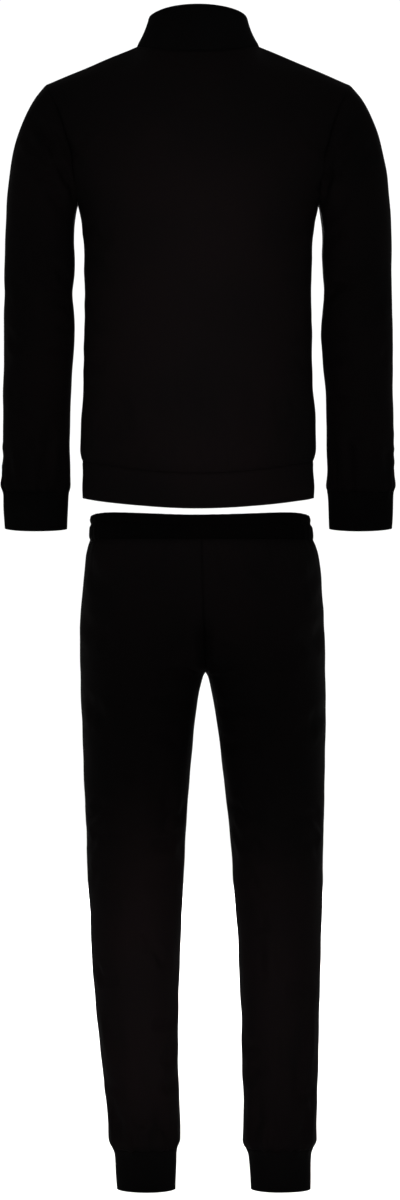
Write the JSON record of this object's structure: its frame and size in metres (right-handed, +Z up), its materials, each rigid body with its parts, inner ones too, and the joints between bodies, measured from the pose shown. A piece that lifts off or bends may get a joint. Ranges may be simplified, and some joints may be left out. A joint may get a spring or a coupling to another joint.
{
  "type": "tracksuit, zipped stand-collar jacket and joggers",
  "caption": "Tracksuit as worn, hollow: a zipped knit jacket with stand collar, cuffs and hem band, above joggers with elastic waist and ankle cuffs.",
  "frame": {"origin": "inside the neck, at the height of the shoulder seams' upper ends, where the wearer's shoulders carry the jacket", "axes": "+Z up, +Y the way the wearer faces, +X the wearer's right"},
  "size_m": [0.596, 0.2386, 1.7656],
  "materials": {
    "knit": "near-black knitted jersey with a short, soft nap",
    "double_knit": "near-black doubled knit, a little denser than the body's",
    "zip_tape": "black woven tape with a closed chain",
    "zip_metal": "black plated zinc"
  },
  "bodies": {
    "suit": {"jacket_back": "knit", "jacket_front_left": "knit", "jacket_front_right": "knit", "sleeve_left": "knit", "sleeve_right": "knit", "sleeve_cuff_left": "double_knit", "sleeve_cuff_right": "double_knit", "collar": "double_knit", "hem_band": "double_knit", "front_zip": "zip_tape", "zip_slider": "zip_metal", "trousers_back_left": "knit", "trousers_back_right": "knit", "trousers_front_left": "knit", "trousers_front_right": "knit", "waistband": "double_knit", "ankle_cuff_left": "double_knit", "ankle_cuff_right": "double_knit"},
    "pull": {"zip_pull": "zip_metal"}
  },
  "joints": [
    {"name": "pull_hinge", "type": "hinge", "parent": "suit", "child": "pull", "pos_m": [0, 0.05956, -0.01657], "axis": [1, 0, 0], "range_deg": [0, 165]}
  ]
}
